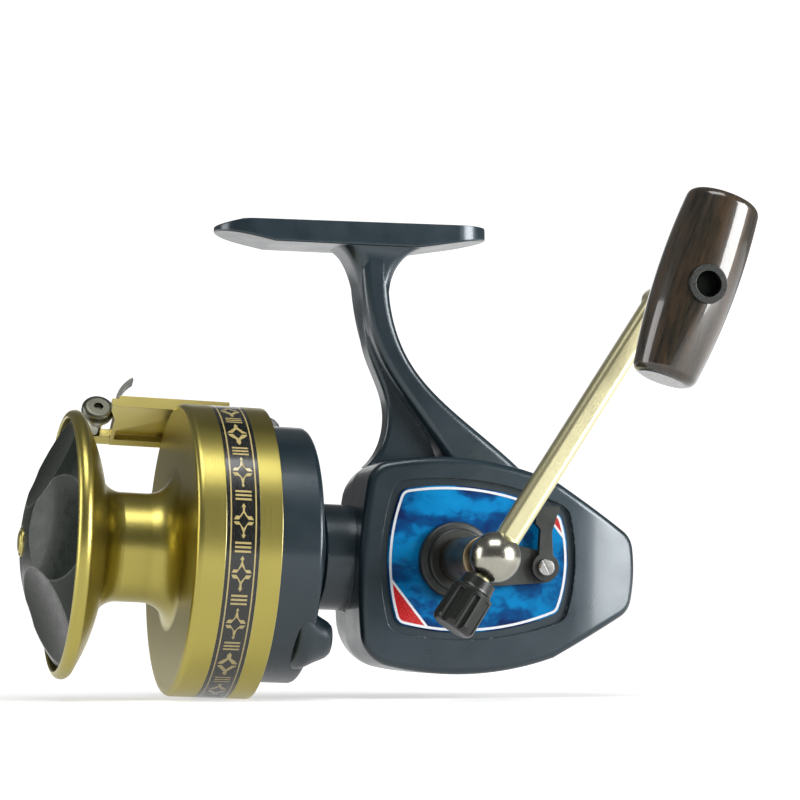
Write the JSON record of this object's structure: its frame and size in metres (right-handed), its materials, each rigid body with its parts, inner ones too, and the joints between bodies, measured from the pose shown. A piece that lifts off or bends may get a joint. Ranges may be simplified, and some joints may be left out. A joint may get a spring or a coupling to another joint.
{
  "type": "fixed-spool fishing reel",
  "caption": "Skirted fixed-spool reel with a manual roller pick-up, gold spool, dark gear case and a folding-free crank with a wooden knob.",
  "frame": {"origin": "middle of the rod seat, the flat top of the foot", "axes": "+Z out of the rod seat, X along the rod with -X towards the rod tip, -Y towards the handle"},
  "size_m": [0.1641, 0.123, 0.1208],
  "materials": {
    "case_paint": "dark slate blue gloss enamel",
    "gold_satin": "pale gold anodised, bead blasted",
    "dark_steel": "blackened, satin",
    "bronze": "aged sintered bronze",
    "nickel": "satin nickel",
    "steel": "turned",
    "zinc_gear": "die-cast gear alloy",
    "brass_gear": "machined",
    "label_black": "printed band",
    "emblem": "lacquered plate",
    "dome_plastic": "moulded, polished",
    "fibre": "oiled drag washer",
    "wood": "dark stained, lacquered",
    "black_plastic": "moulded"
  },
  "bodies": {
    "frame": {"housing": "case_paint", "side_cover": "case_paint", "emblem_plate": "emblem", "cover_screws": "steel", "bearing_flange": "dark_steel", "shaft_sleeve": "bronze", "neck_bearing_outer": "steel", "bearing_retainer": "steel", "guide_rail": "steel", "pawl_pin": "steel"},
    "crank": {"drive_shaft": "steel", "drive_gear": "zinc_gear", "ratchet_wheel": "steel", "crank_washer": "bronze", "crank_ball": "nickel", "handle_arm": "gold_satin", "knob_spindle": "steel"},
    "knob": {"handle_knob": "wood", "knob_bushing": "black_plastic"},
    "nut": {"lock_nut": "black_plastic"},
    "rotor": {"rotor": "case_paint", "pinion": "brass_gear", "rotor_nut": "steel", "neck_bearing_inner": "steel", "pickup_pin": "steel"},
    "bearing_cage": {"neck_bearing_balls": "steel"},
    "pickup": {"pickup_arm": "gold_satin", "pickup_finger": "steel", "roller_screw": "steel"},
    "roller": {"line_roller": "nickel"},
    "shaft": {"main_shaft": "steel", "crosswind_block": "zinc_gear", "block_screw": "steel", "click_gear": "black_plastic", "drag_discs_steel": "steel"},
    "spool": {"spool": "gold_satin", "skirt_label": "label_black", "drag_discs_fibre": "fibre", "click_leaf": "steel"},
    "drag": {"drag_knob": "dome_plastic", "drag_spring": "steel", "button_collar": "gold_satin"},
    "button": {"release_button": "gold_satin"},
    "reverse_lever": {"anti_reverse_lever": "dark_steel", "lever_screw": "steel", "lever_cam": "dark_steel"},
    "reverse_pawl": {"anti_reverse_pawl": "steel"}
  },
  "joints": [
    {"name": "crank_turn", "type": "hinge", "parent": "frame", "child": "crank", "pos_m": [0.02248, 0, -0.08586], "axis": [0, -1, 0], "continuous": true},
    {"name": "knob_spin", "type": "hinge", "parent": "crank", "child": "knob", "pos_m": [0.06398, -0.0766, -0.02339], "axis": [0, -1, 0], "continuous": true},
    {"name": "lock_nut_turn", "type": "hinge", "parent": "crank", "child": "nut", "pos_m": [0.02248, -0.052, -0.08586], "axis": [0.5534, 0, 0.8329], "continuous": true},
    {"name": "rotor_spin", "type": "hinge", "parent": "frame", "child": "rotor", "pos_m": [-0.01749, 0, -0.08412], "axis": [0.999, 0, -0.0436], "continuous": true},
    {"name": "cage_spin", "type": "hinge", "parent": "frame", "child": "bearing_cage", "pos_m": [-0.0055, 0, -0.08464], "axis": [0.999, 0, -0.0436], "continuous": true},
    {"name": "pickup_open", "type": "hinge", "parent": "rotor", "child": "pickup", "pos_m": [-0.0186, 0.01991, -0.05453], "axis": [-0.0244, 0.829, -0.5587], "range_deg": [0, 60]},
    {"name": "roller_spin", "type": "hinge", "parent": "pickup", "child": "roller", "pos_m": [-0.06181, 0.02433, -0.04927], "axis": [0.0259, -0.8039, 0.5943], "continuous": true},
    {"name": "spool_stroke", "type": "slide", "parent": "frame", "child": "shaft", "axis": [-0.999, 0, 0.0436], "range_m": [0, 0.016]},
    {"name": "spool_slip", "type": "hinge", "parent": "shaft", "child": "spool", "pos_m": [-0.05745, 0, -0.08237], "axis": [0.999, 0, -0.0436], "continuous": true},
    {"name": "drag_turn", "type": "hinge", "parent": "shaft", "child": "drag", "pos_m": [-0.07243, 0, -0.08172], "axis": [0.999, 0, -0.0436], "continuous": true},
    {"name": "button_press", "type": "slide", "parent": "drag", "child": "button", "axis": [0.999, 0, -0.0436], "range_m": [0, 0.0016], "stiffness_N_per_m": 250},
    {"name": "reverse_lever_turn", "type": "hinge", "parent": "frame", "child": "reverse_lever", "pos_m": [0.04492, -0.018, -0.08754], "axis": [0, -1, 0], "range_deg": [-28, 0]},
    {"name": "reverse_pawl_turn", "type": "hinge", "parent": "frame", "child": "reverse_pawl", "pos_m": [0.03651, -0.01, -0.07396], "axis": [0, -1, 0], "range_deg": [0, 6]}
  ],
  "couplings": [
    {"joint": "rotor_spin", "follows": "crank_turn", "ratio": 4},
    {"joint": "cage_spin", "follows": "crank_turn", "ratio": 1.5384},
    {"joint": "reverse_pawl_turn", "follows": "reverse_lever_turn", "ratio": -0.2142}
  ]
}
